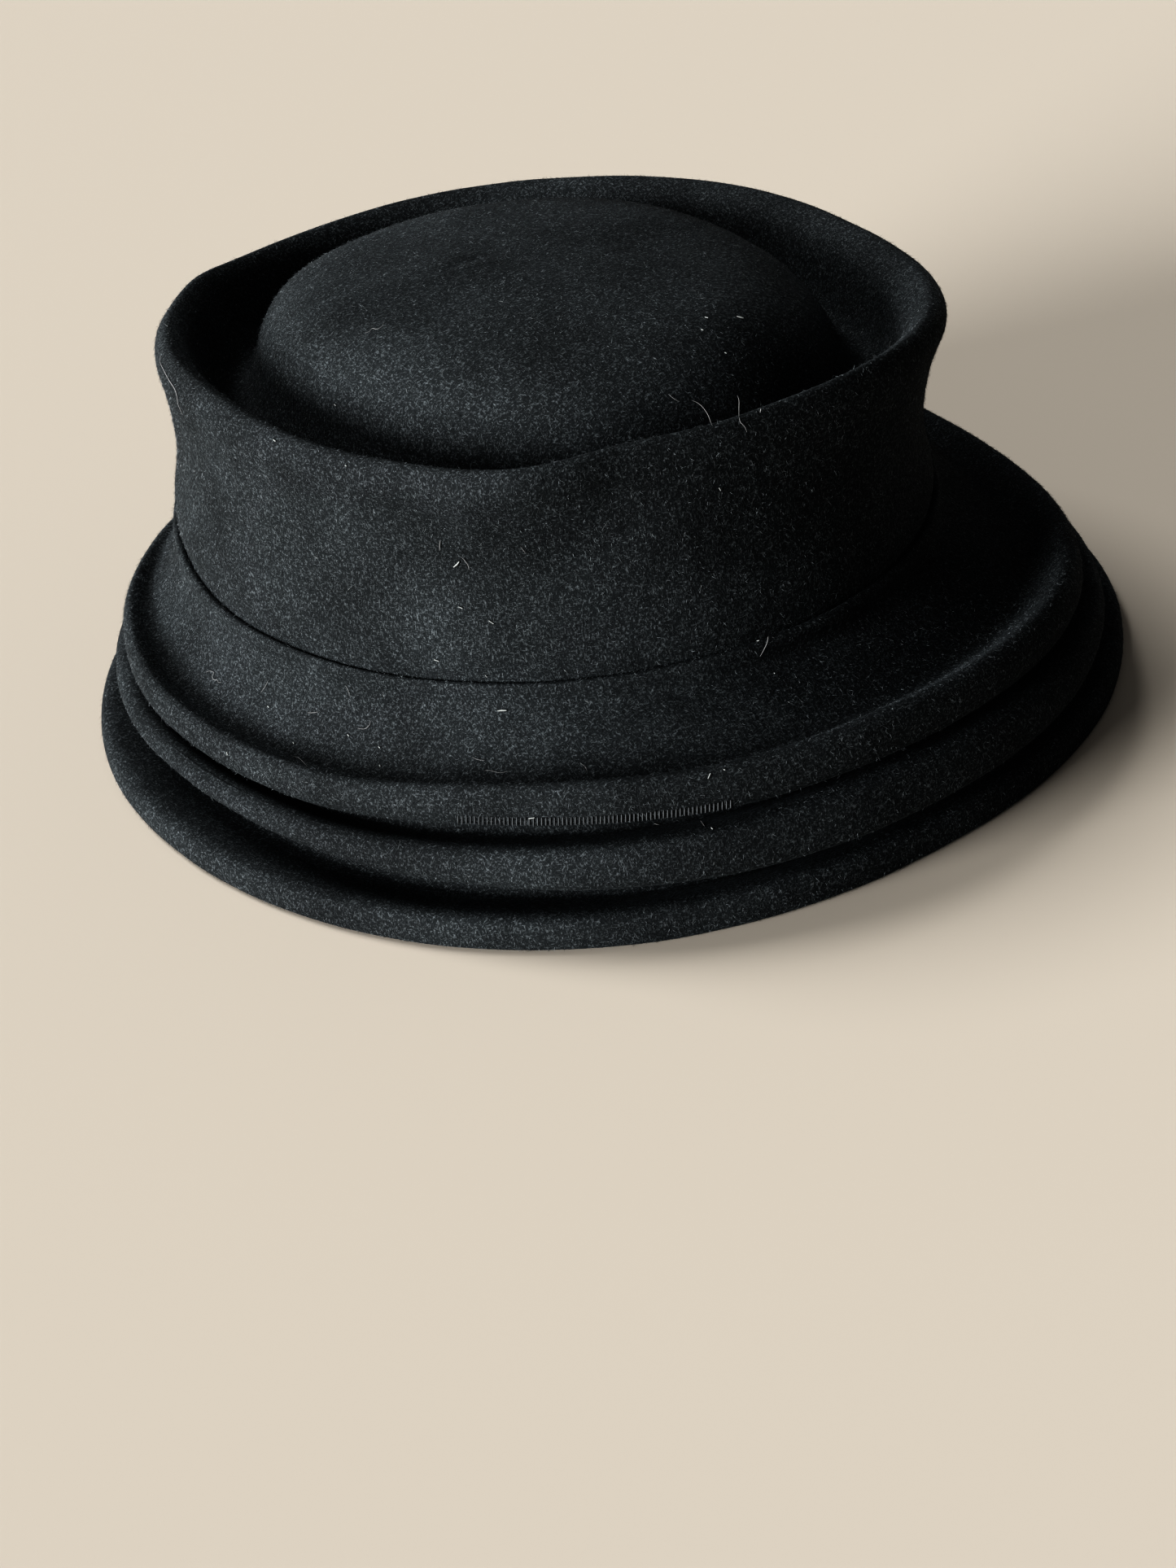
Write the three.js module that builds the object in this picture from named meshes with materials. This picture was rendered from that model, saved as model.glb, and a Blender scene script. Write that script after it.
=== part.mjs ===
import * as THREE from 'three';

// A pork pie hat of black felt: a crown and a tiered brim, millimetres, +Z up, the front towards -Y.
// It rests on the brim's hem. The wearer's left is +X.

// Sizes of the whole hat.
const crownLength = 204;
const crownWidth = 172;
const seamHeight = 47.5;
const crownHeight = 49.6;
const brimReach = 31;

// Felt and seam.
const crownFelt = 1.7;
const brimFelt = 1.7;
const collarHeight = 5.8;
const seamGap = 0.35;
const seamLap = 5.2;

// Pleats and hem.
const pleatLap = 1.4;
const pleatRoll = 1.15;
const hemTurn = 4;

// Facets round the hat.
const facets = 60;

// Where the crown's foot meets the collar: reach as a share of half the crown's length or width,
// height as a share of the seam height.
const seam = {
  front: 0.996, back: 1.004, left: 0.966, right: 1.012,
  upFront: 1.012, upBack: 1.063, upLeft: 0.96, upRight: 0.95,
};

// The top of the rim above the seam, as a share of the crown height.
const rimRise = { front: 0.99, back: 0.73, left: 0.87, right: 1.02 };

// How much fuller than an oval the corners of the rim and of the brim are, as a share of their reach.
const rimCorners = { frontLeft: 0.055, frontRight: 0.055, backLeft: -0.012, backRight: 0.022 };
const brimCorners = { frontLeft: 0.045, frontRight: 0.015, backLeft: 0, backRight: 0 };

// Crown, one row for each section from the hidden foot over the rim to the dome's foot.
// Reach: share of half the length (front, back) or half the width (left, right).
// up: share of the rim's rise. square: share of the rim's corners. dent: share of each dent felt here.
const crownRows = [
  { name: 'wall foot', front: 0.988, back: 0.997, left: 0.965, right: 1.004,
    up: 0.06, square: 0, dent: 0 },
  { name: 'lower wall', front: 0.983, back: 0.99, left: 0.96, right: 0.998,
    up: 0.18, square: 0, dent: 0 },
  { name: 'waist', front: 0.966, back: 0.965, left: 0.94, right: 0.968,
    up: 0.38, square: 0.15, dent: 0.1 },
  { name: 'high wall', front: 0.962, back: 0.948, left: 0.944, right: 0.955,
    up: 0.6, square: 0.45, dent: 0.3 },
  { name: 'flare', front: 0.966, back: 0.943, left: 0.96, right: 0.955,
    up: 0.76, square: 0.7, dent: 0.6 },
  { name: 'rim low', front: 0.972, back: 0.945, left: 0.98, right: 0.96,
    up: 0.87, square: 0.9, dent: 0.9 },
  { name: 'rim out', front: 0.973, back: 0.945, left: 0.985, right: 0.957,
    up: 0.94, square: 1, dent: 1 },
  { name: 'rim crest', front: 0.963, back: 0.93, left: 0.95, right: 0.932,
    up: 1, square: 1, dent: 1 },
  { name: 'rim in', front: 0.948, back: 0.907, left: 0.895, right: 0.898,
    up: 0.96, square: 1, dent: 1 },
  { name: 'trough lip', front: 0.942, back: 0.89, left: 0.862, right: 0.876,
    up: 0.89, square: 1, dent: 0.9 },
  { name: 'trough in', front: 0.926, back: 0.868, left: 0.845, right: 0.855,
    up: 0.78, square: 0.9, dent: 0.6 },
  { name: 'trough low', front: 0.9, back: 0.833, left: 0.823, right: 0.825,
    up: 0.65, square: 0.8, dent: 0.2 },
  { name: 'trough floor', front: 0.857, back: 0.8, left: 0.785, right: 0.785,
    up: 0.6, square: 0.7, dent: 0 },
  { name: 'dome foot', front: 0.812, back: 0.765, left: 0.745, right: 0.738,
    up: 0.67, square: 0.5, dent: 0 },
  { name: 'dome side', front: 0.78, back: 0.743, left: 0.715, right: 0.702,
    up: 0.84, square: 0.35, dent: 0 },
  { name: 'dome shoulder', front: 0.725, back: 0.7, left: 0.66, right: 0.65,
    up: 1.02, square: 0.2, dent: 0 },
  { name: 'dome upper', front: 0.62, back: 0.61, left: 0.56, right: 0.55,
    up: 1.16, square: 0.1, dent: 0 },
  { name: 'dome high', front: 0.44, back: 0.44, left: 0.39, right: 0.39,
    up: 1.23, square: 0, dent: 0 },
  { name: 'dome top', front: 0.22, back: 0.22, left: 0.195, right: 0.195,
    up: 1.28, square: 0, dent: 0 },
];
const domePole = 1.3;

// Corners and flats pressed into the rim: at and wide in degrees from the front, positive to the wearer's
// left. out and up are shares of the crown height.
const rimDents = [
  { name: 'front corner', at: -36, wide: 7, out: 0.065, up: 0.004 },
  { name: 'front flat', at: -22, wide: 9, out: -0.045, up: 0.004 },
  { name: 'back corner', at: -144, wide: 5, out: 0.012, up: 0.014 },
];

// Brim, one row for each section from the collar's foot to the hem.
// front, back, left, right: reach beyond the crown's foot, as a share of the brim reach.
// dropFront and so on: share of the way from the collar's foot to the floor.
// square: share of the brim's corners. dent: share of each dent felt here.
const shelfRows = [
  { name: 'shelf top', front: 0.2, back: 0.11, left: 0.17, right: 0.11,
    dropFront: 0.055, dropBack: 0.1, dropLeft: 0.11, dropRight: 0.13, square: 0.2, dent: 0 },
  { name: 'shelf', front: 0.38, back: 0.18, left: 0.35, right: 0.2,
    dropFront: 0.14, dropBack: 0.22, dropLeft: 0.23, dropRight: 0.25, square: 0.5, dent: 0 },
  { name: 'valley', front: 0.58, back: 0.235, left: 0.5, right: 0.35,
    dropFront: 0.225, dropBack: 0.32, dropLeft: 0.335, dropRight: 0.34, square: 0.8, dent: 0.4 },
  { name: 'ridge inside', front: 0.76, back: 0.26, left: 0.62, right: 0.47,
    dropFront: 0.175, dropBack: 0.37, dropLeft: 0.305, dropRight: 0.325, square: 0.9, dent: 0.8 },
  { name: 'ridge top', front: 0.9, back: 0.28, left: 0.71, right: 0.56,
    dropFront: 0.1, dropBack: 0.41, dropLeft: 0.275, dropRight: 0.28, square: 1, dent: 1 },
  { name: 'ridge outside', front: 0.965, back: 0.3, left: 0.78, right: 0.61,
    dropFront: 0.155, dropBack: 0.45, dropLeft: 0.325, dropRight: 0.33, square: 1, dent: 1 },
];
const pleats = [
  { name: 'upper pleat', front: 0.985, back: 0.34, left: 0.86, right: 0.64,
    dropFront: 0.315, dropBack: 0.53, dropLeft: 0.45, dropRight: 0.455, square: 0.9, dent: 1 },
  { name: 'lower pleat', front: 1.087, back: 0.42, left: 1.0, right: 0.765,
    dropFront: 0.65, dropBack: 0.69, dropLeft: 0.62, dropRight: 0.625, square: 1, dent: 0 },
];

// Below each pleat its tier comes up out of a pocket under the fold and rolls over to the next edge.
const tiers = [
  [
    { name: 'upper pocket', front: 0.6, back: 0.33, left: 0.6, right: 0.38,
      dropFront: 0.49, dropBack: 0.56, dropLeft: 0.59, dropRight: 0.6, square: 1, dent: 0.5 },
    { name: 'middle tier in', front: 0.93, back: 0.37, left: 0.87, right: 0.63,
      dropFront: 0.395, dropBack: 0.6, dropLeft: 0.53, dropRight: 0.53, square: 1, dent: 0 },
    { name: 'middle tier out', front: 1.045, back: 0.4, left: 0.975, right: 0.735,
      dropFront: 0.465, dropBack: 0.645, dropLeft: 0.565, dropRight: 0.57, square: 1, dent: 0 },
  ],
  [
    { name: 'lower pocket', front: 0.5, back: 0.42, left: 0.7, right: 0.4,
      dropFront: 0.91, dropBack: 0.78, dropLeft: 0.86, dropRight: 0.9, square: 1, dent: 0 },
    { name: 'lowest tier in', front: 0.88, back: 0.47, left: 1.13, right: 0.84,
      dropFront: 0.81, dropBack: 0.84, dropLeft: 0.82, dropRight: 0.85, square: 1, dent: 0 },
    { name: 'lowest tier out', front: 0.965, back: 0.51, left: 1.29, right: 0.96,
      dropFront: 0.88, dropBack: 0.9, dropLeft: 0.88, dropRight: 0.9, square: 0.9, dent: 0 },
  ],
];
const hemRow = { front: 0.98, back: 0.52, left: 1.335, right: 1.0, square: 0.9, dent: 0 };

// Dents in the brim, at and wide in degrees, out and up as shares of the brim reach.
const brimDents = [
  { name: 'ridge pinch', at: -42, wide: 14, out: -0.03, up: 0.07 },
];

// How deep the pleats are round the brim, in degrees to either side of the front: full up to the first
// angle, gone beyond the second.
const pleatFullAngle = 80;
const pleatGoneAngle = 150;

// A pleat's section, out and up in rolls and laps from its lower edge, folded and let out.
const pleatTurn = [
  { name: 'edge out', roll: 0, rise: 1, lap: 0 },
  { name: 'edge low', roll: 1, rise: 0, lap: 0 },
  { name: 'edge in', roll: 2, rise: 1, lap: 0 },
  { name: 'tuck out', roll: 2.3, rise: 1.5, lap: 1 },
  { name: 'tuck in', roll: 4, rise: 1, lap: 1 },
];

const smooth = (x) => {
  const k = Math.min(1, Math.max(0, x));
  return k * k * (3 - 2 * k);
};

// A value between the four sides of the hat, at an angle from the front.
function around(angle, front, back, left, right) {
  const c = Math.cos(angle);
  const s = Math.sin(angle);
  return (c > 0 ? front : back) * c * c + (s > 0 ? left : right) * s * s;
}

// A point of an oval with its own reach to the front, back, left and right, and fuller corners.
function oval(angle, front, back, left, right, corners, square) {
  const c = Math.cos(angle);
  const s = Math.sin(angle);
  const onLeft = c > 0 ? corners.frontLeft : corners.backLeft;
  const onRight = c > 0 ? corners.frontRight : corners.backRight;
  const fill = 1 + square * (s > 0 ? onLeft : onRight) * (1 - Math.cos(4 * angle)) / 2;
  return [(s > 0 ? left : right) * s * fill, -(c > 0 ? front : back) * c * fill];
}

const halfLength = crownLength / 2;
const halfWidth = crownWidth / 2;

function seamUp(angle) {
  return seamHeight * around(angle, seam.upFront, seam.upBack, seam.upLeft, seam.upRight);
}

function rimUp(angle) {
  return crownHeight * around(angle, rimRise.front, rimRise.back, rimRise.left, rimRise.right);
}

// A point at a distance outside the crown's foot.
function beyondSeam(angle, front, back, left, right, square) {
  return oval(angle,
    halfLength * seam.front + front,
    halfLength * seam.back + back,
    halfWidth * seam.left + left,
    halfWidth * seam.right + right,
    brimCorners,
    square);
}

// What the dents of a table add at an angle.
function dentAt(dents, size, angle, key) {
  let sum = 0;
  for (const dent of dents) {
    let away = angle - dent.at * Math.PI / 180;
    away = Math.atan2(Math.sin(away), Math.cos(away)) / (dent.wide * Math.PI / 180);
    sum += dent[key] * size * Math.exp(-away * away / 2);
  }
  return sum;
}

// The crown's section at an angle, down the middle of the felt.
function crownSection(angle) {
  const section = [];
  const inset = crownFelt / 2 + seamGap;
  for (const up of [-seamLap, 0]) {
    const [x, y] = beyondSeam(angle, -inset, -inset, -inset, -inset, 0);
    section.push([x, y, seamUp(angle) + up]);
  }
  const middle = (level) => seamHeight + crownHeight * level * (rimRise.front + rimRise.back) / 2;
  for (const row of crownRows) {
    const [x, y] = oval(angle, halfLength * row.front, halfLength * row.back,
      halfWidth * row.left, halfWidth * row.right, rimCorners, row.square);
    const out = dentAt(rimDents, crownHeight, angle, 'out') * row.dent;
    const reach = Math.hypot(x, y);
    const lift = dentAt(rimDents, crownHeight, angle, 'up') * row.dent;
    const own = seamUp(angle) + rimUp(angle) * row.up + lift;
    const even = middle(row.up);
    const share = Math.min(1, row.front / 0.9);
    section.push([x * (1 + out / reach), y * (1 + out / reach), even + (own - even) * share]);
  }
  return section;
}

// The brim's section at an angle, down the middle of the felt.
function brimSection(angle) {
  const section = [];
  const collar = brimFelt / 2;
  const top = seamUp(angle);
  const foot = top - collarHeight;
  const plan = (row) => {
    const out = dentAt(brimDents, brimReach, angle, 'out') * row.dent;
    return beyondSeam(angle, brimReach * row.front + out, brimReach * row.back + out,
      brimReach * row.left + out, brimReach * row.right + out, row.square);
  };
  const point = (row, drop) => {
    const lift = dentAt(brimDents, brimReach, angle, 'up') * row.dent;
    return [...plan(row), foot * (1 - drop) + lift];
  };
  const level = (row) => around(angle, row.dropFront, row.dropBack, row.dropLeft, row.dropRight);
  for (const [out, up] of [[collar, top], [collar * 1.05, (top + foot) / 2], [collar * 1.7, foot]]) {
    const [x, y] = beyondSeam(angle, out, out, out, out, 0);
    section.push([x, y, up]);
  }
  for (const row of shelfRows) {
    section.push(point(row, level(row)));
  }
  const away = Math.abs(Math.atan2(Math.sin(angle), Math.cos(angle))) * 180 / Math.PI;
  const depth = 1 - smooth((away - pleatFullAngle) / (pleatGoneAngle - pleatFullAngle));
  pleats.forEach((pleat, index) => {
    const [x, y, z] = point(pleat, level(pleat));
    const reach = Math.hypot(x, y);
    const room = section[section.length - 2][2] - z;
    const fold = depth * Math.min(1, room / (brimFelt + 2 * pleatRoll + pleatLap));
    pleatTurn.forEach((turn, step) => {
      const flat = (pleatTurn.length / 2 - step) * pleatRoll * 0.4;
      const out = -brimFelt / 2 - turn.roll * pleatRoll * fold;
      const folded = brimFelt / 2 + turn.rise * pleatRoll + turn.lap * pleatLap;
      section.push([x * (1 + out / reach), y * (1 + out / reach), z + folded * fold + flat * (1 - fold)]);
    });
    for (const row of tiers[index]) {
      section.push(point(row, level(row)));
    }
  });
  const [x, y] = plan(hemRow);
  const reach = Math.hypot(x, y);
  const hem = [
    { out: -brimFelt / 2, up: brimFelt * 1.6 },
    { out: -brimFelt, up: brimFelt / 2 },
    { out: -brimFelt - hemTurn, up: brimFelt / 2 },
  ];
  for (const { out, up } of hem) {
    section.push([x * (1 + out / reach), y * (1 + out / reach), up]);
  }
  return section.reverse();
}

// Both faces of a felt, half its thickness either side of the middle.
function feltFaces(sections, thickness, pole) {
  const count = sections.length;
  const rows = sections[0].length;
  const faces = [[], []];
  const at = (j, i) => new THREE.Vector3(...sections[(j + count) % count][i]);
  for (let j = 0; j < count; j += 1) {
    const outer = [];
    const inner = [];
    for (let i = 0; i < rows; i += 1) {
      const here = at(j, i);
      const before = i > 0 ? at(j, i - 1) : null;
      let after = i < rows - 1 ? at(j, i + 1) : null;
      if (!after && pole) after = new THREE.Vector3(...pole);
      const round = at(j + 1, i).sub(at(j - 1, i)).normalize();
      const first = before ? here.clone().sub(before).normalize() : after.clone().sub(here).normalize();
      const second = after ? after.clone().sub(here).normalize() : first.clone();
      const along = first.clone().add(second).normalize();
      const normal = new THREE.Vector3().crossVectors(round, along).normalize();
      const mitre = Math.min(1.25, 1 / Math.max(0.5, Math.sqrt((1 + first.dot(second)) / 2)));
      normal.multiplyScalar(thickness / 2 * mitre);
      outer.push(here.clone().add(normal));
      inner.push(here.clone().sub(normal));
    }
    faces[0].push(outer);
    faces[1].push(inner);
  }
  return faces;
}

// One closed shell from the two faces, with a point at the pole if it has one.
function shell(name, sections, thickness, pole, material, shift) {
  const [outer, inner] = feltFaces(sections, thickness, pole);
  const count = sections.length;
  const rows = sections[0].length;
  const positions = [];
  const push = (p) => {
    positions.push(p.x + shift.x, p.y + shift.y, Math.max(0, p.z));
    return positions.length / 3 - 1;
  };
  const index = [];
  const outerIds = outer.map((line) => line.map(push));
  const innerIds = inner.map((line) => line.map(push));
  const quad = (a, b, c, d) => index.push(a, b, c, a, c, d);
  for (let j = 0; j < count; j += 1) {
    const k = (j + 1) % count;
    for (let i = 0; i < rows - 1; i += 1) {
      quad(outerIds[j][i], outerIds[k][i], outerIds[k][i + 1], outerIds[j][i + 1]);
      quad(innerIds[j][i], innerIds[j][i + 1], innerIds[k][i + 1], innerIds[k][i]);
    }
    quad(outerIds[j][0], innerIds[j][0], innerIds[k][0], outerIds[k][0]);
    if (!pole) {
      quad(outerIds[j][rows - 1], outerIds[k][rows - 1], innerIds[k][rows - 1], innerIds[j][rows - 1]);
    }
  }
  if (pole) {
    const above = push(new THREE.Vector3(pole[0], pole[1], pole[2] + thickness / 2));
    const below = push(new THREE.Vector3(pole[0], pole[1], pole[2] - thickness / 2));
    for (let j = 0; j < count; j += 1) {
      const k = (j + 1) % count;
      index.push(outerIds[j][rows - 1], outerIds[k][rows - 1], above);
      index.push(innerIds[k][rows - 1], innerIds[j][rows - 1], below);
    }
  }
  const geometry = new THREE.BufferGeometry();
  geometry.setAttribute('position', new THREE.Float32BufferAttribute(positions, 3));
  geometry.setIndex(index);
  geometry.computeVertexNormals();
  const mesh = new THREE.Mesh(geometry, material);
  mesh.name = name;
  return mesh;
}

const angles = Array.from({ length: facets }, (unused, j) => 2 * Math.PI * j / facets);
const crownSections = angles.map(crownSection);
const brimSections = angles.map(brimSection);

// The middle of the whole hat lies over the origin.
function middleOf(lists) {
  const points = lists.flat().flat();
  const xs = points.map((p) => p.x);
  const ys = points.map((p) => p.y);
  return new THREE.Vector2((Math.min(...xs) + Math.max(...xs)) / 2, (Math.min(...ys) + Math.max(...ys)) / 2);
}
const brimMiddle = middleOf(feltFaces(brimSections, brimFelt, null));
const shift = new THREE.Vector2(-brimMiddle.x, -brimMiddle.y);

const crownMaterial = new THREE.MeshStandardMaterial({ color: 0x151517, roughness: 0.95, metalness: 0 });
const brimMaterial = new THREE.MeshStandardMaterial({ color: 0x131315, roughness: 0.95, metalness: 0 });

const poleUp = seamHeight + crownHeight * domePole * (rimRise.front + rimRise.back) / 2;
const hat = new THREE.Group();
hat.name = 'pork_pie_hat';
hat.add(shell('crown', crownSections, crownFelt, [0, 0, poleUp], crownMaterial, shift));
hat.add(shell('brim', brimSections, brimFelt, null, brimMaterial, shift));

export default hat;
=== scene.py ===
# A pork pie hat of black felt: a crown and a brim with two pleats, on a pale floor.
# Metres, +Z up, the front of the hat towards -Y.

import math

import bmesh
import bpy
import numpy as np
from mathutils import Matrix, Vector, noise
from mathutils.bvhtree import BVHTree


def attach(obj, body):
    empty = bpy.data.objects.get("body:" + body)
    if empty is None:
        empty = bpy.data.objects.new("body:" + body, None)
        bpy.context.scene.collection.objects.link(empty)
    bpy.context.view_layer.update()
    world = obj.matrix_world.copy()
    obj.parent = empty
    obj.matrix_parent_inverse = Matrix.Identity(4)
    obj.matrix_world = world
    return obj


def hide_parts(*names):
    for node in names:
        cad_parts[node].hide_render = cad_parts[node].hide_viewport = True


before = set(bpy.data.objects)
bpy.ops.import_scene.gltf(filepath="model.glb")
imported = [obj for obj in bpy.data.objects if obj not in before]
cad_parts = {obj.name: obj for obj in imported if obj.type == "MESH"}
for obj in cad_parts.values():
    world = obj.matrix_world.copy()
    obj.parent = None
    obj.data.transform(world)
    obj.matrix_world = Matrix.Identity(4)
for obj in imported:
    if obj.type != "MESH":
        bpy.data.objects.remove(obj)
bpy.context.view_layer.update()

# The camera stands before the wearer's right, above the rim, and is turned a little on its own line.
CAMERA_AT = Vector((-0.28539, -0.5582, 0.35296))
CAMERA_RIGHT = Vector((0.852954, -0.506958, -0.124346))
CAMERA_UP = Vector((0.361909, 0.402691, 0.840751))
CAMERA_BACK = Vector((-0.376153, -0.762124, 0.52695))
PICTURE = (1445, 1927)
FOCUS = 3600


def set_camera():
    data = bpy.data.cameras.new("camera")
    data.sensor_width = 36
    data.lens = FOCUS / PICTURE[1] * 36
    data.clip_start = 0.01
    data.clip_end = 100
    camera = bpy.data.objects.new("camera", data)
    place = Matrix((CAMERA_RIGHT, CAMERA_UP, CAMERA_BACK)).transposed().to_4x4()
    place.translation = CAMERA_AT
    camera.matrix_world = place
    bpy.context.collection.objects.link(camera)
    bpy.context.scene.camera = camera


def line_of_sight(x, y):
    """The way from the camera through a point of the picture."""
    way = CAMERA_RIGHT * (x - PICTURE[0] / 2) - CAMERA_UP * (y - PICTURE[1] / 2) - CAMERA_BACK * FOCUS
    return way.normalized()


# Materials.


def new_material(name, base, roughness, sheen, specular=0.08):
    material = bpy.data.materials.new(name)
    material.use_nodes = True
    nodes = material.node_tree.nodes
    cloth = nodes["Principled BSDF"]
    cloth.inputs["Base Color"].default_value = (*base, 1)
    cloth.inputs["Roughness"].default_value = roughness
    cloth.inputs["Specular IOR Level"].default_value = specular
    cloth.inputs["Sheen Weight"].default_value = sheen
    cloth.inputs["Sheen Roughness"].default_value = 0.35
    cloth.inputs["Sheen Tint"].default_value = (0.78, 0.9, 1, 1)
    return material, nodes, material.node_tree.links, cloth


def grain(nodes, links, place, scale, detail, stretch=None, turn=None):
    """A noise on the felt's own place, drawn out along one way if stretch is given."""
    source = place.outputs["Object"]
    if stretch:
        drawn = nodes.new("ShaderNodeMapping")
        drawn.inputs["Scale"].default_value = stretch
        drawn.inputs["Rotation"].default_value = turn
        links.new(source, drawn.inputs["Vector"])
        source = drawn.outputs["Vector"]
    spots = nodes.new("ShaderNodeTexNoise")
    spots.inputs["Scale"].default_value = scale
    spots.inputs["Detail"].default_value = detail
    spots.inputs["Roughness"].default_value = 0.6
    links.new(source, spots.inputs["Vector"])
    return spots.outputs["Fac"]


def ramp(nodes, links, source, stops):
    band = nodes.new("ShaderNodeValToRGB")
    points = band.color_ramp.elements
    while len(points) < len(stops):
        points.new(0.5)
    for point, (at, colour) in zip(points, stops):
        point.position = at
        point.color = (*colour, 1)
    links.new(source, band.inputs["Fac"])
    return band.outputs["Color"]


# The felt's fibres lie in three sets, each drawn out along its own way and turned.
FIBRE_GRAIN = 1000
LYING = [
    {"stretch": (3.5, 1, 1.2), "turn": (0.4, 0.3, 0.9)},
    {"stretch": (1.2, 3.5, 1), "turn": (0.9, -0.5, 0.2)},
    {"stretch": (1, 1.2, 3.5), "turn": (-0.6, 0.7, -0.3)},
]


def felt(name, dark, pale):
    """Black wool felt: clouded, with pale fibres lying in it three ways, and a napped face."""
    material, nodes, links, cloth = new_material(name, dark, 0.85, 0.02)
    place = nodes.new("ShaderNodeTexCoord")
    lying = [grain(nodes, links, place, FIBRE_GRAIN, 2, way["stretch"], way["turn"]) for way in LYING]
    most = lying[0]
    for other in lying[1:]:
        taller = nodes.new("ShaderNodeMath")
        taller.operation = "MAXIMUM"
        links.new(most, taller.inputs[0])
        links.new(other, taller.inputs[1])
        most = taller.outputs[0]
    middle = [(a + b) / 2 for a, b in zip(dark, pale)]
    fibres = ramp(nodes, links, most, [(0.58, dark), (0.68, middle), (0.8, pale)])
    cloud = grain(nodes, links, place, 30, 4)
    clouds = ramp(nodes, links, cloud, [(0.35, (0.72, 0.72, 0.72)), (0.65, (1.2, 1.2, 1.2))])
    colour = nodes.new("ShaderNodeMix")
    colour.data_type = "RGBA"
    colour.blend_type = "MULTIPLY"
    colour.inputs["Factor"].default_value = 1
    links.new(fibres, colour.inputs["A"])
    links.new(clouds, colour.inputs["B"])
    links.new(colour.outputs["Result"], cloth.inputs["Base Color"])
    rough = nodes.new("ShaderNodeMapRange")
    rough.inputs["From Min"].default_value = 0.4
    rough.inputs["From Max"].default_value = 0.8
    rough.inputs["To Min"].default_value = 0.95
    rough.inputs["To Max"].default_value = 0.62
    links.new(most, rough.inputs["Value"])
    links.new(rough.outputs["Result"], cloth.inputs["Roughness"])
    nap = nodes.new("ShaderNodeBump")
    nap.inputs["Strength"].default_value = 0.55
    nap.inputs["Distance"].default_value = 0.0004
    links.new(most, nap.inputs["Height"])
    soft = nodes.new("ShaderNodeBump")
    soft.inputs["Strength"].default_value = 0.5
    soft.inputs["Distance"].default_value = 0.0009
    links.new(grain(nodes, links, place, 190, 4), soft.inputs["Height"])
    links.new(nap.outputs["Normal"], soft.inputs["Normal"])
    links.new(soft.outputs["Normal"], cloth.inputs["Normal"])
    return material


def fibre_material(name, dark, pale):
    """Loose wool fibres, some darker than others."""
    material, nodes, links, cloth = new_material(name, dark, 0.5, 0, 0.2)
    place = nodes.new("ShaderNodeTexCoord")
    spots = grain(nodes, links, place, 900, 1)
    colours = ramp(nodes, links, spots, [(0.4, dark), (0.54, dark), (0.6, pale)])
    links.new(colours, cloth.inputs["Base Color"])
    return material


DARK_FELT = (0.0118, 0.0137, 0.015)
PALE_FELT = (0.085, 0.096, 0.103)
crown_felt = felt("crown_felt", DARK_FELT, PALE_FELT)
brim_felt = felt("brim_felt", DARK_FELT, PALE_FELT)
nap_fibre = fibre_material("nap_fibre", (0.02, 0.023, 0.025), (0.16, 0.178, 0.19))
loose_fibre = fibre_material("loose_fibre", (0.06, 0.066, 0.07), (0.22, 0.235, 0.24))


# Felt pieces.


def link_piece(name, mesh, material):
    piece = bpy.data.objects.new(name, mesh)
    bpy.context.collection.objects.link(piece)
    mesh.materials.clear()
    mesh.materials.append(material)
    return piece


def merged(node):
    """A copy of a packed felt with its triangles joined in pairs."""
    copy = bmesh.new()
    copy.from_mesh(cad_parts[node].data)
    bmesh.ops.remove_doubles(copy, verts=copy.verts, dist=1e-6)
    bmesh.ops.join_triangles(
        copy, faces=copy.faces, angle_face_threshold=3.1, angle_shape_threshold=3.1, topology_influence=1
    )
    mesh = bpy.data.meshes.new(node)
    copy.to_mesh(mesh)
    copy.free()
    return mesh


def points_of(mesh):
    co = np.empty(len(mesh.vertices) * 3)
    mesh.vertices.foreach_get("co", co)
    return co.reshape(-1, 3)


def put_points(mesh, points):
    mesh.vertices.foreach_set("co", np.ascontiguousarray(points, dtype=np.float32).ravel())
    mesh.update()


def as_shaped(piece):
    """The piece with its modifier or its bevel worked out."""
    return piece.evaluated_get(bpy.context.evaluated_depsgraph_get())


SUBDIVISIONS = 2
FITTING_ROUNDS = 4
FITTING_STEP = 0.9


def rounded(name, node, material):
    """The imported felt, rounded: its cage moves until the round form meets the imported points."""
    mesh = merged(node)
    piece = link_piece(name, mesh, material)
    smooth = piece.modifiers.new("round", "SUBSURF")
    smooth.levels = SUBDIVISIONS
    smooth.render_levels = SUBDIVISIONS
    wanted = points_of(mesh)
    cage = wanted.copy()
    for _ in range(FITTING_ROUNDS):
        got = as_shaped(piece).to_mesh()
        cage += (wanted - points_of(got)[: len(wanted)]) * FITTING_STEP
        put_points(mesh, cage)
    finished = bpy.data.meshes.new_from_object(as_shaped(piece))
    piece.modifiers.clear()
    piece.data = finished
    finished.name = name
    for face in finished.polygons:
        face.use_smooth = True
    return piece


def ease(x):
    k = np.clip(x, 0, 1)
    return k * k * (3 - 2 * k)


# Blocking by hand leaves the felt a little off its form, in broad and in fine waves. The hem stays level.
BROAD = {"wide": 0.045, "high": 0.00045, "shift": Vector((0, 0, 0))}
FINE = {"wide": 0.014, "high": 0.00014, "shift": Vector((7, 3, 5))}
LEVEL_BELOW = 0.012
# Without a seed the noise starts from the clock, and each run gives a slightly different felt.
NOISE_SEED = 10
noise.seed_set(NOISE_SEED)


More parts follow.
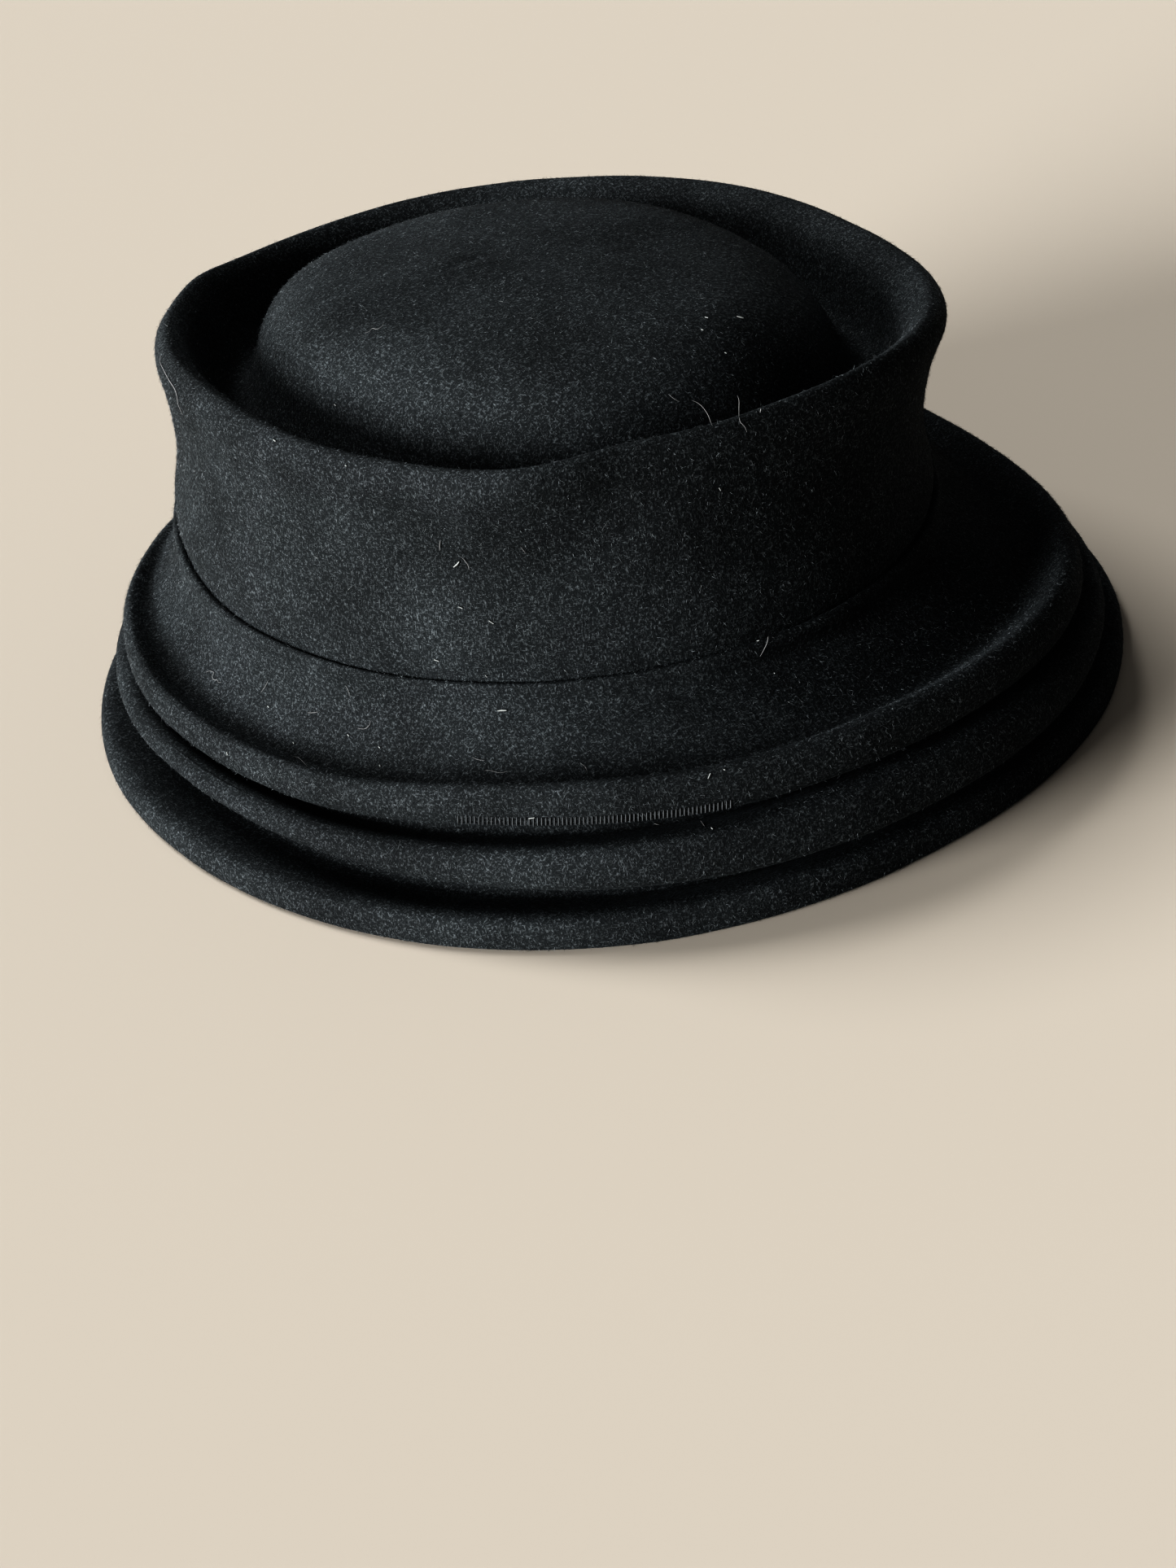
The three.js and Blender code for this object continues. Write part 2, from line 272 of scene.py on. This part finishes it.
def uneven(points):
    """The points of a felt, moved by the waves. Both faces of the felt move together."""
    moved = np.empty_like(points)
    for i, p in enumerate(points):
        at = Vector(p)
        broad, fine = (noise.noise_vector(at / w["wide"] + w["shift"]) * w["high"] for w in (BROAD, FINE))
        moved[i] = broad + fine
    moved[:, 2] *= ease(points[:, 2] / LEVEL_BELOW)
    return points + moved


def felt_piece(name, node, material):
    piece = rounded(name, node, material)
    put_points(piece.data, uneven(points_of(piece.data)))
    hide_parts(node)
    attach(piece, "root")
    return piece


crown = felt_piece("crown_of_felt", "crown", crown_felt)
brim = felt_piece("brim_of_felt", "brim", brim_felt)


# Creases: lines in the picture where the felt is pinched out (out above 0) or pressed in.


def felts_as_one():
    points = []
    faces = []
    for piece in (crown, brim):
        start = len(points)
        points.extend(v.co.copy() for v in piece.data.vertices)
        faces.extend([start + i for i in f.vertices] for f in piece.data.polygons)
    return BVHTree.FromPolygons(points, faces)


def seat(x, y, lift=0):
    """Where the line of sight through a point of the picture meets the felt."""
    spot, normal, _, _ = FELTS.ray_cast(CAMERA_AT, line_of_sight(x, y))
    return spot + normal * lift if spot else None


CREASES = [
    {"on": "wall, below the rim's corner", "out": 0.0009, "wide": 0.0035,
     "at": [(569, 586), (573, 620), (576, 652)]},
    {"on": "dome", "out": -0.0006, "wide": 0.0018,
     "at": [(550, 328), (567, 322), (585, 315)]},
    {"on": "valley", "out": -0.0009, "wide": 0.0018,
     "at": [(580, 951), (610, 951), (640, 949)]},
]
SAME_FACE = 0.3


def crease(piece, line, normal, out, wide):
    """Moves the points of a felt near a line along its normal, on the face that the normal points out of."""
    points = points_of(piece.data)
    normals = np.empty(points.size)
    piece.data.vertices.foreach_get("normal", normals)
    near = np.full(len(points), np.inf)
    for a, b in zip(line, line[1:]):
        along = b - a
        share = np.clip((points - a) @ along / (along @ along), 0, 1)
        near = np.minimum(near, np.linalg.norm(points - a - share[:, None] * along, axis=1))
    outer = normals.reshape(-1, 3) @ normal > SAME_FACE
    put_points(piece.data, points + (np.exp(-((near / wide) ** 2)) * outer * out)[:, None] * normal)


def crease_felts():
    for row in CREASES:
        line = [np.array(seat(x, y)) for x, y in row["at"]]
        normal = np.array(FELTS.find_nearest(Vector(line[1]))[1])
        for piece in (crown, brim):
            crease(piece, line, normal, row["out"], row["wide"])


FELTS = felts_as_one()
crease_felts()
FELTS = felts_as_one()


# Nap: short fibres standing on the felt.


def fibre_shape():
    """One fibre: a spike with three sides and a foot, a unit long and a unit thick."""
    spike = bmesh.new()
    bmesh.ops.create_cone(spike, cap_ends=True, segments=3, radius1=0.5, radius2=0, depth=1)
    bmesh.ops.remove_doubles(spike, verts=spike.verts, dist=1e-6)
    bmesh.ops.translate(spike, verts=spike.verts, vec=(0, 0, 0.5))
    spike.verts.index_update()
    corners = np.array([v.co for v in spike.verts])
    faces = np.array([[v.index for v in f.verts] for f in spike.faces])
    spike.free()
    return corners, faces


SPIKE, SPIKE_FACES = fibre_shape()
# The sides of a fibre are set out from a slanting way that hardly any fibre follows.
SLANTING = np.array([0.31, 0.22, 0.92])


def planted(name, roots, ways, lengths, thick, material):
    """One piece of many fibres, each from its root along its way."""
    side = np.cross(ways, SLANTING)
    side /= np.linalg.norm(side, axis=1)[:, None]
    other = np.cross(ways, side)
    corners = (
        roots[:, None]
        + SPIKE[None, :, 0, None] * side[:, None] * thick
        + SPIKE[None, :, 1, None] * other[:, None] * thick
        + SPIKE[None, :, 2, None] * (ways * lengths[:, None])[:, None]
    )
    count = len(SPIKE)
    faces = SPIKE_FACES[None] + count * np.arange(len(roots))[:, None, None]
    mesh = bpy.data.meshes.new(name)
    mesh.from_pydata(corners.reshape(-1, 3).tolist(), [], faces.reshape(-1, 3).tolist())
    mesh.update()
    piece = link_piece(name, mesh, material)
    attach(piece, "root")
    return piece


# Kinds of fibre: how long, how steep, how far combed downhill, and how thick.
SHORT = {"length": 0.00115, "rise": 0.42, "combed": 0.35, "thick": 0.00007, "material": nap_fibre}
HANGING = {**SHORT, "combed": 0.8}
LOOSE = {"length": 0.0019, "rise": 0.08, "combed": 0, "thick": 0.00012, "material": loose_fibre}
# The shortest and longest fibre, and the flattest and steepest one, as shares of those.
LENGTHS = (0.45, 1.35)
RISES = (0.25, 1.6)
# The underside of a fibre's foot is this far below the face of the felt.
ROOTED = 0.00007


def nap(name, felt_of, count, wanted, seed, fibre=SHORT):
    """Fibres strewn over the faces of a felt that wanted keeps, leaning any way but more downhill."""
    chance = np.random.default_rng(seed)
    mesh = felt_of.data
    mesh.calc_loop_triangles()
    corners = np.empty(len(mesh.loop_triangles) * 3, dtype=np.int32)
    mesh.loop_triangles.foreach_get("vertices", corners)
    a, b, c = points_of(mesh)[corners].reshape(-1, 3, 3).transpose(1, 0, 2)
    across = np.cross(b - a, c - a)
    area = np.linalg.norm(across, axis=1)
    normal = across / np.maximum(area, 1e-15)[:, None]
    share = area * wanted((a + b + c) / 3, normal)
    pick = chance.choice(len(area), size=count, p=share / share.sum())
    u, v = chance.random((2, count))
    over = u + v > 1
    u[over], v[over] = 1 - u[over], 1 - v[over]
    roots = a[pick] + (b - a)[pick] * u[:, None] + (c - a)[pick] * v[:, None]
    n = normal[pick]
    lean = chance.normal(size=(count, 3))
    lean[:, 2] -= fibre["combed"] * 2
    lean -= n * (lean * n).sum(1)[:, None]
    lean /= np.linalg.norm(lean, axis=1)[:, None]
    up = chance.uniform(fibre["rise"] * RISES[0], fibre["rise"] * RISES[1], count)
    ways = lean + n * up[:, None]
    ways /= np.linalg.norm(ways, axis=1)[:, None]
    lengths = fibre["length"] * chance.uniform(*LENGTHS, count)
    # None reaches below the floor.
    ways[:, 2] = np.maximum(ways[:, 2], -roots[:, 2] / lengths)
    roots += n * (fibre["thick"] / 2 - ROOTED)
    return planted(name, roots, ways, lengths, fibre["thick"], fibre["material"])


# Where the parts of the felts lie, for the nap.
CROWN_MIDDLE_Y = 0.008
BRIM_MIDDLE_Y = 0.003
DOME_REACH = 0.07
COLLAR_TOP = 0.044
SHELF_LOW = 0.026
TIERS_HIGH = 0.034
ALMOST_OUT = -0.0005
SEEN_FROM_ABOVE = 0.02


def outside_low(middle, normal):
    """The crown's outer wall up to the rim."""
    x, y, z = middle[:, 0], middle[:, 1] - CROWN_MIDDLE_Y, middle[:, 2]
    out = normal[:, 0] * x + normal[:, 1] * y
    return (out > 0) & (np.hypot(x, y) > DOME_REACH) & (z > COLLAR_TOP)


def outside_top(middle, normal):
    """The rim, the trough and the dome, seen from above."""
    return (normal[:, 2] > SEEN_FROM_ABOVE) & ~outside_low(middle, normal)


def brim_top(middle, normal):
    """The brim's shelf and ridge."""
    return (normal[:, 2] > 0) & (middle[:, 2] > SHELF_LOW)


def brim_low(middle, normal):
    """The two lower tiers."""
    out = normal[:, 0] * middle[:, 0] + normal[:, 1] * (middle[:, 1] - BRIM_MIDDLE_Y)
    return (out > ALMOST_OUT) & (middle[:, 2] <= TIERS_HIGH)


NAP_COUNT = 46000
nap("nap_on_wall", crown, NAP_COUNT, outside_low, 11)
nap("nap_on_top", crown, NAP_COUNT, outside_top, 12)
nap("nap_on_shelf", brim, NAP_COUNT, brim_top, 13)
nap("nap_on_tiers", brim, NAP_COUNT, brim_low, 14, HANGING)


# Longer, paler fibres that have come loose and lie on the felt.


def whole_crown(middle, normal):
    return outside_low(middle, normal) | outside_top(middle, normal)


def whole_brim(middle, normal):
    return brim_top(middle, normal) | brim_low(middle, normal)


LOOSE_COUNT = 520
nap("loose_on_crown", crown, LOOSE_COUNT, whole_crown, 15, LOOSE)
nap("loose_on_brim", brim, LOOSE_COUNT, whole_brim, 16, LOOSE)


# Small things on the felt, each placed where it is seen in the picture.


def in_step_with(root, x, y, nearer):
    """The point seen at x, y, nearer to the camera than the root by the length given last."""
    away = (CAMERA_AT - root).dot(CAMERA_BACK) - nearer
    way = line_of_sight(x, y)
    return CAMERA_AT - way * (away / way.dot(CAMERA_BACK))


def threads(name, lines, thick, material, taper=0.35):
    """One piece of round threads, each along its own line and thinner at both ends."""
    curve = bpy.data.curves.new(name, "CURVE")
    curve.dimensions = "3D"
    curve.bevel_depth = thick / 2
    curve.bevel_resolution = 1
    curve.use_fill_caps = True
    for line in lines:
        spline = curve.splines.new("POLY")
        spline.points.add(len(line) - 1)
        for i, (knot, place) in enumerate(zip(spline.points, line)):
            share = i / (len(line) - 1)
            knot.co = (*place, 1)
            knot.radius = taper + (1 - taper) * math.sin(math.pi * share)
    holder = bpy.data.objects.new(name, curve)
    bpy.context.collection.objects.link(holder)
    mesh = bpy.data.meshes.new_from_object(as_shaped(holder))
    bpy.data.objects.remove(holder)
    bpy.data.curves.remove(curve)
    piece = link_piece(name, mesh, material)
    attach(piece, "root")
    return piece


def plain(name, colour):
    return new_material(name, colour, 0.9, 0)[0]


def smooth_line(points, steps=4):
    """The knots of a line with rounder ones between them."""
    line = []
    for i in range(len(points) - 1):
        before, here, there, after = (points[min(max(i + k, 0), len(points) - 1)] for k in (-1, 0, 1, 2))
        for step in range(steps):
            t = step / steps
            bend = before * 2 - here * 5 + there * 4 - after
            swing = here * 3 - before - there * 3 + after
            line.append((here * 2 + (there - before) * t + bend * t * t + swing * t ** 3) / 2)
    line.append(points[-1])
    return line


# Stitches over the lower edge of the upper pleat. In the picture: the first, the last, the way from one
# to the next, and how far each reaches above and over the edge. In metres: the rest.
STITCHES = {
    "first": 563, "last": 902, "pitch": 5.15, "above": 9, "over_edge": 1,
    "thick": 0.0003, "lift": 0.00012, "tucked": 0.0003,
}
STITCH_KNOTS = (1, 0.66, 0.33, 0.05)
# Where the edge is looked for, down the picture, and how far the felt drops back behind it, in metres.
EDGE = {"from": 960, "to": 1040, "step": 0.5, "drop": 0.0012}


def pleat_edge(x):
    """How far down the picture the upper pleat reaches at x: the last point before the felt drops back."""
    last = None
    y = EDGE["from"]
    while y < EDGE["to"]:
        spot = seat(x, y)
        depth = (CAMERA_AT - spot).dot(CAMERA_BACK)
        if last is not None and depth - last > EDGE["drop"]:
            return y - EDGE["step"]
        last = depth
        y += EDGE["step"]
    return None


def stitch_line():
    lines = []
    x = STITCHES["first"]
    while x < STITCHES["last"]:
        edge = pleat_edge(x)
        if edge:
            ys = [edge - STITCHES["above"] * share for share in STITCH_KNOTS]
            line = [seat(x, y, STITCHES["lift"]) for y in ys]
            line.append(in_step_with(line[-1], x, edge + STITCHES["over_edge"], -STITCHES["tucked"]))
            lines.append(line)
        x += STITCHES["pitch"]
    return lines


# Hairs, as places in the picture from end to end. A free hair stands off the felt beyond its first place.
HAIRS = [
    {"on": "rim, left", "thick": 0.00018, "free": False,
     "at": [(199, 438), (198, 445), (202, 454), (209, 467), (216, 478), (219, 487), (220, 495),
            (223, 503), (226, 509)]},
    {"on": "dome", "thick": 0.00012, "free": False,
     "at": [(449, 410), (454, 409), (458, 405), (463, 406), (468, 404), (471, 401), (472, 397)]},
    {"on": "rim, front", "thick": 0.00013, "free": True,
     "at": [(875, 523), (873, 518), (870, 510), (864, 501), (857, 495), (850, 492)]},
    {"on": "rim, front", "thick": 0.00013, "free": True,
     "at": [(908, 513), (908, 503), (908, 492), (906, 486)]},
    {"on": "rim, front", "thick": 0.00013, "free": False,
     "at": [(908, 514), (909, 519), (914, 524), (917, 531)]},
    {"on": "dome, right", "thick": 0.0001, "free": False, "at": [(821, 485), (827, 490), (834, 494)]},
    {"on": "rim, front", "thick": 0.0002, "free": True, "at": [(934, 507), (935, 502)]},
    {"on": "wall", "thick": 0.00018, "free": False, "at": [(542, 663), (541, 669), (541, 676)]},
    {"on": "wall", "thick": 0.00015, "free": False,
     "at": [(567, 683), (572, 688), (576, 694), (577, 699)]},
    {"on": "wall", "thick": 0.00015, "free": False, "at": [(640, 671), (643, 675), (646, 679)]},
    {"on": "shelf, left", "thick": 0.00013, "free": False,
     "at": [(254, 827), (259, 825), (264, 827), (262, 832), (264, 836), (268, 836), (270, 839), (273, 839)]},
    {"on": "shelf, left", "thick": 0.00012, "free": False, "at": [(331, 836), (327, 844), (322, 851)]},
    {"on": "shelf", "thick": 0.00012, "free": False, "at": [(426, 842), (429, 849), (431, 856)]},
    {"on": "shelf", "thick": 0.00012, "free": False, "at": [(379, 876), (385, 876), (392, 875)]},
    {"on": "shelf", "thick": 0.00013, "free": False,
     "at": [(440, 895), (449, 896), (455, 891), (456, 886)]},
    {"on": "valley, left", "thick": 0.00013, "free": False,
     "at": [(360, 931), (367, 933), (372, 938), (377, 943)]},
    {"on": "valley", "thick": 0.00012, "free": False,
     "at": [(595, 948), (601, 947), (609, 949), (616, 950), (627, 948)]},
    {"on": "shelf", "thick": 0.0001, "free": False, "at": [(713, 938), (719, 943), (722, 949)]},
    {"on": "shelf", "thick": 0.0001, "free": False, "at": [(581, 931), (588, 934), (596, 935)]},
    {"on": "shelf, right", "thick": 0.0002, "free": False,
     "at": [(933, 806), (936, 801), (941, 792), (943, 787), (944, 784), (945, 781), (950, 784)]},
    {"on": "middle tier", "thick": 0.00013, "free": False, "at": [(803, 1011), (810, 1015)]},
    {"on": "middle tier", "thick": 0.00013, "free": False, "at": [(861, 1010), (866, 1017)]},
]

# Lint: short white bits, from one end to the other in the picture.
LINT = [
    ((612, 874), (617, 873), (623, 873)),
    ((905, 390), (909, 391), (913, 392)),
    ((866, 391), (870, 392)),
    ((861, 406), (864, 407)),
    ((890, 434), (892, 435)),
    ((558, 696), (562, 693), (565, 689)),
    ((534, 810), (540, 812)),
    ((601, 762), (607, 766)),
    ((564, 745), (569, 747)),
    ((597, 829), (599, 831)),
    ((425, 572), (427, 573)),
    ((337, 541), (340, 543)),
    ((412, 497), (414, 499)),
    ((650, 1005), (657, 1004)),
    ((873, 951), (870, 957)),
    ((889, 946), (891, 947)),
    ((874, 1018), (876, 1020)),
    ((361, 913), (362, 915)),
    ((330, 868), (332, 870)),
    ((280, 924), (281, 928)),
    ((428, 903), (430, 905)),
    ((466, 918), (468, 920)),
    ((467, 941), (468, 943)),
    ((928, 788), (933, 788)),
    ((951, 828), (952, 829)),
    ((883, 599), (885, 602)),
]

# Lifts off the felt: of a hair's or a bit of lint's middle line, of a free hair's root, and of a free hair
# from one place to the next.
HAIR_LIFT = 0.0003
LINT_LIFT = 0.00028
ROOT_LIFT = 0.0001
FREE_RISE = 0.0004
LINT_THICK = 0.0004


def hair_line(hair):
    root = seat(*hair["at"][0], ROOT_LIFT)
    line = []
    for i, (x, y) in enumerate(hair["at"]):
        if hair["free"]:
            line.append(in_step_with(root, x, y, FREE_RISE * i))
        else:
            line.append(seat(x, y, HAIR_LIFT))
    return smooth_line(line)


white_hair = plain("white_hair", (0.17, 0.172, 0.175))
white_lint = plain("white_lint", (0.2, 0.21, 0.21))
sewing_thread = plain("sewing_thread", (0.075, 0.08, 0.085))
for thick in sorted({hair["thick"] for hair in HAIRS}):
    lines = [hair_line(hair) for hair in HAIRS if hair["thick"] == thick]
    threads("hairs_%d" % round(thick * 1e5), lines, thick, white_hair)
bits = [[seat(x, y, LINT_LIFT) for x, y in bit] for bit in LINT]
threads("lint", bits, LINT_THICK, white_lint, taper=0.6)
threads("pleat_stitches", stitch_line(), STITCHES["thick"], sewing_thread, taper=0.7)


# Floor and light.


FLOOR_REACH = 12
DAYLIGHT = (1, 0.99, 0.97)


def lay_floor():
    ground = bmesh.new()
    bmesh.ops.create_grid(ground, x_segments=1, y_segments=1, size=FLOOR_REACH)
    mesh = bpy.data.meshes.new("floor")
    ground.to_mesh(mesh)
    ground.free()
    floor = link_piece("floor", mesh, plain("floor_paint", (0.345, 0.32, 0.287)))


def shine(name, azimuth, elevation, strength, spread):
    """A sun, with its angles in degrees: azimuth 0 is before the hat, and 90 at the wearer's left."""
    data = bpy.data.lights.new(name, "SUN")
    data.energy = strength
    data.angle = math.radians(spread)
    data.color = DAYLIGHT
    lamp = bpy.data.objects.new(name, data)
    a, e = math.radians(azimuth), math.radians(elevation)
    way = Vector((math.sin(a) * math.cos(e), -math.cos(a) * math.cos(e), math.sin(e)))
    lamp.rotation_mode = "QUATERNION"
    lamp.rotation_quaternion = way.to_track_quat("Z", "Y")
    bpy.context.collection.objects.link(lamp)


def set_light():
    shine("window", azimuth=-86, elevation=8, strength=10.4, spread=34)
    shine("room", azimuth=-150, elevation=55, strength=2.4, spread=30)
    world = bpy.data.worlds.new("world")
    world.use_nodes = True
    sky = world.node_tree.nodes["Background"]
    sky.inputs["Color"].default_value = (1, 0.98, 0.95, 1)
    sky.inputs["Strength"].default_value = 0.2
    bpy.context.scene.world = world
    bpy.context.scene.view_settings.view_transform = "Standard"
    bpy.context.scene.view_settings.look = "Very High Contrast"


lay_floor()
set_light()
set_camera()
